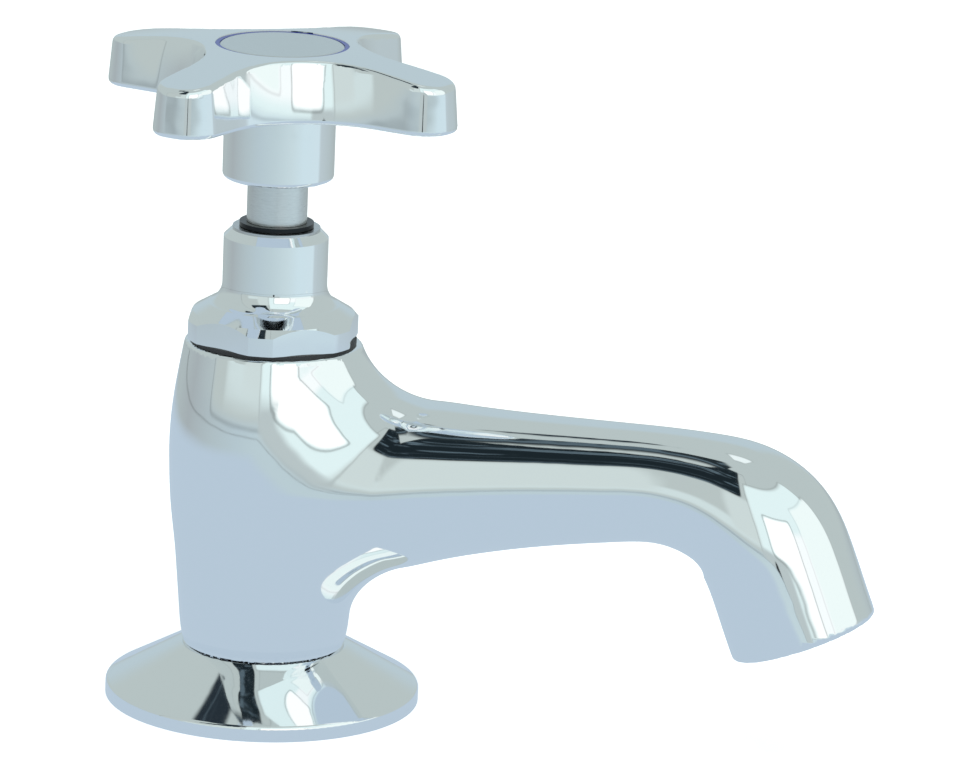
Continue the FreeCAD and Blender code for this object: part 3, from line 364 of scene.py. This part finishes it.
def surface_mesh(surface, low, high, spacing):
    """Quads around the zero of a distance function, each corner moved onto it."""
    axes = [np.arange(a, b + spacing, spacing) for a, b in zip(low, high)]
    grid = np.stack(np.meshgrid(*axes, indexing="ij"), -1)
    values = surface(grid.reshape(-1, 3)).reshape(grid.shape[:3])
    inside = values < 0
    cells = tuple(size - 1 for size in values.shape)
    total, hits = np.zeros((*cells, 3)), np.zeros(cells)
    crossings = []
    # a cell's corner starts in the middle of the places where the surface crosses its edges
    for axis in range(3):
        near = [slice(None)] * 3
        far = [slice(None)] * 3
        near[axis], far[axis] = slice(0, -1), slice(1, None)
        a, b = values[tuple(near)], values[tuple(far)]
        crossed = inside[tuple(near)] != inside[tuple(far)]
        share = np.where(crossed, a / np.where(crossed, a - b, 1), 0)
        spot = grid[tuple(near)] + share[..., None] * spacing * np.eye(3)[axis]
        crossings.append((crossed & inside[tuple(near)], crossed & ~inside[tuple(near)]))
        others = [n for n in range(3) if n != axis]
        for u in (0, 1):
            for v in (0, 1):
                cut = [slice(None)] * 3
                cut[others[0]] = slice(u, values.shape[others[0]] - 1 + u)
                cut[others[1]] = slice(v, values.shape[others[1]] - 1 + v)
                seen = crossed[tuple(cut)]
                total += spot[tuple(cut)] * seen[..., None]
                hits += seen
    used = hits > 0
    numbers = np.full(cells, -1)
    numbers[used] = np.arange(used.sum())
    points = total[used] / hits[used][:, None]
    quads = []
    # every crossed edge makes a quad between the corners of the four cells around it
    for axis, (leaving, entering) in enumerate(crossings):
        u, v = np.eye(3, dtype=int)[[(axis + 1) % 3, (axis + 2) % 3]]
        for crossed, order in ((leaving, (0, 1, 2, 3)), (entering, (3, 2, 1, 0))):
            spots = np.argwhere(crossed)
            corners = [spots - u - v, spots - v, spots, spots - u]
            ring = np.stack([numbers[tuple(corner.T)] for corner in corners], 1)
            quads.append(ring[:, order])
    for _ in range(SETTLE_ROUNDS):
        way, gap = slope(surface, points)
        points = points - np.clip(gap / (way ** 2).sum(1), -spacing, spacing)[:, None] * way
    way, _ = slope(surface, points)
    return points, np.concatenate(quads), way / np.linalg.norm(way, axis=1)[:, None]


def new_piece(name, points, faces, normals):
    """Object with a smooth mesh, from millimetres."""
    mesh = bpy.data.meshes.new(name)
    mesh.from_pydata((points * MM).tolist(), [], faces.tolist())
    mesh.shade_smooth()
    mesh.normals_split_custom_set_from_vertices(normals.tolist())
    piece = bpy.data.objects.new(name, mesh)
    bpy.context.scene.collection.objects.link(piece)
    return piece


def body_skin():
    """Body, with a crisp edge where its foot ends just over the flange."""
    low, high = (np.array(corner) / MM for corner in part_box("tap_body"))
    # the foot's edge lies halfway between two layers of the grid
    low[2] = FOOT_HEIGHT - GRID * (math.ceil((FOOT_HEIGHT - low[2]) / GRID) + 0.5)
    points, quads, normals = surface_mesh(BodySurface(), low - 2 * GRID, high + 2 * GRID, GRID)
    reach = np.hypot(points[:, 0], points[:, 1])
    level, upright = FOOT_SNAP
    edge = (np.abs(reach - FOOT_RADIUS) < level) & (np.abs(points[:, 2] - FOOT_HEIGHT) < upright)
    points[edge, :2] *= (FOOT_RADIUS / reach[edge])[:, None]
    points[edge, 2] = FOOT_HEIGHT
    normals[edge] = points[edge] * (1, 1, 0) / FOOT_RADIUS
    skin = new_piece("body_skin", points, quads, normals)
    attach(skin, "tap")
    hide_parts("tap_body")
    return skin


def handle_skin():
    """Handle with its crowned top and leaning sides, and a crisp edge around the index."""
    surface = HandleSurface()
    side = ARM_REACH + HANDLE_MARGIN
    low = np.array([-side, -side, BOSS_BOTTOM - HANDLE_MARGIN])
    high = np.array([side, side, CROWN_TOP + HANDLE_MARGIN])
    points, quads, normals = surface_mesh(surface, low, high, HANDLE_GRID)
    reach = np.hypot(points[:, 0], points[:, 1])
    rim = surface.crown(INDEX_RADIUS)
    lip = (np.abs(reach - INDEX_RADIUS) < INDEX_SNAP) & (np.abs(points[:, 2] - rim) < INDEX_SNAP)
    points[lip, :2] *= (INDEX_RADIUS / reach[lip])[:, None]
    points[lip, 2] = rim
    outward = np.column_stack([points[lip, :2], points[lip, 2] - CROWN_TOP + surface.sphere])
    normals[lip] = outward / np.linalg.norm(outward, axis=1)[:, None]
    turn = math.radians(ARM_TURN)
    across = np.array([[math.cos(turn), math.sin(turn), 0],
                       [-math.sin(turn), math.cos(turn), 0],
                       [0, 0, 1]])
    skin = new_piece("handle_skin", points @ across, quads, normals @ across)
    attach(skin, "handle")
    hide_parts("handle")
    return skin


# ---------------------------------------------------------------- materials

def new_material(name):
    """Material, with its nodes, its links and its shader."""
    material = bpy.data.materials.new(name)
    material.use_nodes = True
    nodes = material.node_tree.nodes
    return material, nodes, material.node_tree.links, nodes["Principled BSDF"]


def chrome():
    """Polished plate over a casting: nearly a mirror, with faint waves and a polish that changes in fine
    spots.
    """
    material, nodes, links, shader = new_material("chrome")
    shader.inputs["Base Color"].default_value = (*CHROME_COLOUR, 1)
    shader.inputs["Metallic"].default_value = 1
    place = nodes.new("ShaderNodeTexCoord")
    waves = nodes.new("ShaderNodeTexNoise")
    waves.inputs["Scale"].default_value = WAVE_SCALE
    waves.inputs["Detail"].default_value = 2
    bump = nodes.new("ShaderNodeBump")
    bump.inputs["Strength"].default_value = 1
    bump.inputs["Distance"].default_value = WAVE_DEPTH * MM
    grain = nodes.new("ShaderNodeTexNoise")
    grain.inputs["Scale"].default_value = HAZE_SCALE
    haze = nodes.new("ShaderNodeMapRange")
    haze.inputs["To Min"].default_value = HAZE[0]
    haze.inputs["To Max"].default_value = HAZE[1]
    links.new(place.outputs["Object"], waves.inputs["Vector"])
    links.new(place.outputs["Object"], grain.inputs["Vector"])
    links.new(waves.outputs["Fac"], bump.inputs["Height"])
    links.new(bump.outputs["Normal"], shader.inputs["Normal"])
    links.new(grain.outputs["Fac"], haze.inputs["Value"])
    links.new(haze.outputs["Result"], shader.inputs["Roughness"])
    return material


def grainy(name, colour, metallic, roughness, scale, depth, stretch, variation):
    """Plain finish with a fine grain in its colour, its gloss and its surface."""
    material, nodes, links, shader = new_material(name)
    shader.inputs["Metallic"].default_value = metallic
    place = nodes.new("ShaderNodeTexCoord")
    mapping = nodes.new("ShaderNodeMapping")
    mapping.inputs["Scale"].default_value = stretch
    noise = nodes.new("ShaderNodeTexNoise")
    noise.inputs["Scale"].default_value = scale
    noise.inputs["Detail"].default_value = 6
    tint = nodes.new("ShaderNodeMix")
    tint.data_type = "RGBA"
    tint.inputs["A"].default_value = (*[part * (1 - variation) for part in colour], 1)
    tint.inputs["B"].default_value = (*[min(1, part * (1 + variation)) for part in colour], 1)
    gloss = nodes.new("ShaderNodeMapRange")
    gloss.inputs["To Min"].default_value = roughness * GLOSS_RANGE[0]
    gloss.inputs["To Max"].default_value = roughness * GLOSS_RANGE[1]
    bump = nodes.new("ShaderNodeBump")
    bump.inputs["Distance"].default_value = depth * MM
    links.new(place.outputs["Object"], mapping.inputs["Vector"])
    links.new(mapping.outputs["Vector"], noise.inputs["Vector"])
    links.new(noise.outputs["Fac"], tint.inputs["Factor"])
    links.new(noise.outputs["Fac"], gloss.inputs["Value"])
    links.new(noise.outputs["Fac"], bump.inputs["Height"])
    links.new(tint.outputs["Result"], shader.inputs["Base Color"])
    links.new(gloss.outputs["Result"], shader.inputs["Roughness"])
    links.new(bump.outputs["Normal"], shader.inputs["Normal"])
    return material


def finish_nodes(skins):
    """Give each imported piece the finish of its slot, and the skins the chrome."""
    finishes = {"chrome": chrome()}
    for slot, finish in FINISHES.items():
        finishes[slot] = grainy(*finish)
    slots = {part["node"]: part["material_slot"] for part in frame["record"]["subparts"]}
    for name, thing in frame["nodes"].items():
        thing.data.materials.clear()
        thing.data.materials.append(finishes[slots[name]])
    for skin in skins:
        skin.data.materials.append(finishes["chrome"])


# ---------------------------------------------------------------- studio

class Formula:
    """Short way to write sums of a node tree."""

    def __init__(self, tree):
        self.nodes, self.links = tree.nodes, tree.links

    def fill(self, socket, value):
        """Link a value that other nodes work out, or write down a plain one."""
        if isinstance(value, bpy.types.NodeSocket):
            self.links.new(value, socket)
        else:
            socket.default_value = value

    def math(self, operation, *values):
        node = self.nodes.new("ShaderNodeMath")
        node.operation = operation
        for socket, value in zip(node.inputs, values):
            self.fill(socket, value)
        return node.outputs[0]

    def within(self, value, low, high):
        """How far a value lies inside two limits."""
        return self.math("MINIMUM", self.math("SUBTRACT", value, low), self.math("SUBTRACT", high, value))

    def smooth(self, value, low, high):
        """Soft step from 0 to 1 between two values."""
        node = self.nodes.new("ShaderNodeMapRange")
        node.interpolation_type = "SMOOTHSTEP"
        self.fill(node.inputs["Value"], value)
        node.inputs["From Min"].default_value = low
        node.inputs["From Max"].default_value = high
        return node.outputs["Result"]

    def split(self, vector):
        node = self.nodes.new("ShaderNodeSeparateXYZ")
        self.fill(node.inputs[0], vector)
        return node.outputs

    def join(self, x, y, z):
        node = self.nodes.new("ShaderNodeCombineXYZ")
        for socket, value in zip(node.inputs, (x, y, z)):
            self.fill(socket, value)
        return node.outputs[0]

    def turn(self, x, y):
        """Direction in plan, in degrees from +X."""
        return self.math("DEGREES", self.math("ARCTAN2", y, x))

    def noise(self, place, scale):
        node = self.nodes.new("ShaderNodeTexNoise")
        self.fill(node.inputs["Vector"], place)
        node.inputs["Scale"].default_value = scale
        node.inputs["Detail"].default_value = 3
        return node.outputs["Fac"]

    def ramp(self, value, tones):
        """Smooth change between tones, each at its own place."""
        first, last = tones[0][0], tones[-1][0]
        node = self.nodes.new("ShaderNodeValToRGB")
        stops = node.color_ramp.elements
        for _ in tones[2:]:
            stops.new(0.5)
        for stop, (place, colour) in zip(stops, tones):
            stop.position = (place - first) / (last - first)
            stop.color = (*colour, 1)
        after = self.math("SUBTRACT", value, first)
        self.fill(node.inputs[0], self.math("DIVIDE", after, last - first))
        return node.outputs[0]

    def mix(self, share, first, second):
        """Colour between two others."""
        node = self.nodes.new("ShaderNodeMix")
        node.data_type = "RGBA"
        self.fill(node.inputs["Factor"], share)
        for socket, value in ((node.inputs["A"], first), (node.inputs["B"], second)):
            self.fill(socket, (*value, 1) if isinstance(value, tuple) else value)
        return node.outputs["Result"]

    def shader(self, share, first, second):
        """Shader between two others."""
        node = self.nodes.new("ShaderNodeMixShader")
        for socket, value in zip(node.inputs, (share, first, second)):
            self.fill(socket, value)
        return node.outputs[0]


def tent_colour(sums, direction):
    """Colour of the light tent in a direction: soft patches over a plain pale cloth."""
    x, y, z = sums.split(direction)
    turn = sums.turn(x, y)
    lift = sums.math("DEGREES", sums.math("ARCSINE", z))
    horizon = sums.ramp(turn, HORIZON_TONES)
    colour = sums.mix(sums.smooth(lift, *HORIZON_FADE), horizon, TENT)
    around = sums.math("MULTIPLY", turn, STREAK_SCALE[0])
    upwards = sums.math("MULTIPLY", lift, STREAK_SCALE[1])
    streaks = sums.noise(sums.join(around, upwards, 0.0), 1.0)
    for left, right, low, high, softness, tone, edge in TENT_PATCHES:
        across, up = sums.within(turn, left, right), sums.within(lift, low, high)
        inside = sums.math("SMOOTH_MIN", across, up, PATCH_CORNER)
        if edge:
            away = sums.math("ABSOLUTE", sums.math("ADD", inside, EDGE_OFFSET))
            line = sums.math("SUBTRACT", 1.0, sums.smooth(away, 0, EDGE_WIDTH))
            colour = sums.mix(sums.math("MULTIPLY", line, edge), colour, LINE)
        if max(tone) < STREAKED:
            tone = sums.mix(sums.smooth(streaks, *STREAK_LEVELS), tone, STREAK)
        colour = sums.mix(sums.smooth(inside, -softness, softness), colour, tone)
    return colour


def studio():
    """White room for the camera, and the light tent for everything else."""
    world = bpy.data.worlds.new("studio")
    world.use_nodes = True
    bpy.context.scene.world = world
    nodes, links = world.node_tree.nodes, world.node_tree.links
    sums = Formula(world.node_tree)
    direction = nodes.new("ShaderNodeTexCoord").outputs["Generated"]
    rays = nodes.new("ShaderNodeLightPath")
    light = sums.mix(rays.outputs["Is Camera Ray"], tent_colour(sums, direction), WHITE)
    links.new(light, nodes["Background"].inputs["Color"])


def table(sums, place):
    """Table that the metal sees: blue around the tap, with a dark line before it ends."""
    edge, end = DECK_REACH * MM, DECK_END * MM
    distance = sums.nodes.new("ShaderNodeVectorMath")
    distance.operation = "LENGTH"
    sums.fill(distance.inputs[0], place)
    away = distance.outputs["Value"]
    x, y, _ = sums.split(place)
    share = sums.smooth(away, edge * DECK_FADE[0], edge * DECK_FADE[1])
    tone = sums.mix(share, DECK, sums.ramp(sums.turn(x, y), HORIZON_TONES))
    line = sums.smooth(away, end * END_LINE[0], end * END_LINE[1])
    glow = sums.nodes.new("ShaderNodeEmission")
    sums.fill(glow.inputs["Color"], sums.mix(sums.math("MULTIPLY", line, END_DARKNESS), tone, LINE))
    beyond = sums.nodes.new("ShaderNodeBsdfTransparent")
    return sums.shader(sums.smooth(away, end * END_FADE, end), glow.outputs[0], beyond.outputs[0])


def floor_material():
    """White with a glow of its own for the camera, and the table for the metal."""
    material, nodes, links, shader = new_material("floor")
    sums = Formula(material.node_tree)
    shader.inputs["Base Color"].default_value = (FLOOR_TONE, FLOOR_TONE, FLOOR_TONE, 1)
    shader.inputs["Roughness"].default_value = 0.9
    glow = nodes.new("ShaderNodeEmission")
    glow.inputs["Color"].default_value = (*WHITE, 1)
    glow.inputs["Strength"].default_value = FLOOR_GLOW
    lit = nodes.new("ShaderNodeAddShader")
    links.new(shader.outputs[0], lit.inputs[0])
    links.new(glow.outputs[0], lit.inputs[1])
    seen = table(sums, nodes.new("ShaderNodeTexCoord").outputs["Object"])
    rays = nodes.new("ShaderNodeLightPath")
    both = sums.shader(rays.outputs["Is Glossy Ray"], lit.outputs[0], seen)
    links.new(both, nodes["Material Output"].inputs["Surface"])
    return material


def floor():
    """Round floor under the tap."""
    turns = [2 * math.pi * n / FLOOR_CORNERS for n in range(FLOOR_CORNERS)]
    radius, height = FLOOR_RADIUS * MM, -FLOOR_DROP * MM
    corners = [(radius * math.cos(turn), radius * math.sin(turn), height) for turn in turns]
    mesh = bpy.data.meshes.new("floor")
    mesh.from_pydata(corners, [], [list(range(FLOOR_CORNERS))])
    ground = bpy.data.objects.new("floor", mesh)
    bpy.context.scene.collection.objects.link(ground)
    mesh.materials.append(floor_material())


def plain_colours():
    """Show colours as they are written."""
    bpy.context.scene.view_settings.view_transform = "Standard"


def soft_lamp():
    """Soft lamp over the tap, for the shadow, which the metal doesn't show."""
    lamp = bpy.data.lights.new("soft_lamp", "AREA")
    lamp.shape = "DISK"
    lamp.size = LAMP_SIZE * MM
    lamp.energy = LAMP_POWER
    place = Vector([part * MM for part in LAMP_PLACE])
    thing = bpy.data.objects.new("soft_lamp", lamp)
    thing.location = place
    thing.rotation_euler = place.to_track_quat("Z", "Y").to_euler()
    thing.visible_glossy = False
    bpy.context.scene.collection.objects.link(thing)


def camera():
    """Camera of the photograph, rolled a little because the tap leans there."""
    turn, roll = math.radians(CAMERA_TURN), math.radians(CAMERA_ROLL)
    place = Vector((CAMERA_DISTANCE * math.sin(turn), -CAMERA_DISTANCE * math.cos(turn), CAMERA_HEIGHT))
    sideways = Vector((math.cos(turn), math.sin(turn), 0))
    ahead = (sideways * AIM_SIDEWAYS + Vector((0, 0, AIM_HEIGHT)) - place).normalized()
    right = ahead.cross(Vector((0, 0, 1))).normalized()
    up = right.cross(ahead)
    axes = Matrix((math.cos(roll) * right - math.sin(roll) * up,
                   math.sin(roll) * right + math.cos(roll) * up, -ahead)).transposed()
    eye = bpy.data.objects.new("camera", bpy.data.cameras.new("camera"))
    eye.matrix_world = Matrix.Translation(place * MM) @ axes.to_4x4()
    eye.data.sensor_width = SENSOR_WIDTH
    eye.data.lens = SENSOR_WIDTH * FOCAL_PIXELS / FRAME_WIDTH
    eye.data.clip_start = NEAREST_SEEN * MM
    bpy.context.scene.collection.objects.link(eye)
    bpy.context.scene.camera = eye


finish_nodes([body_skin(), handle_skin()])
plain_colours()
studio()
floor()
soft_lamp()
camera()
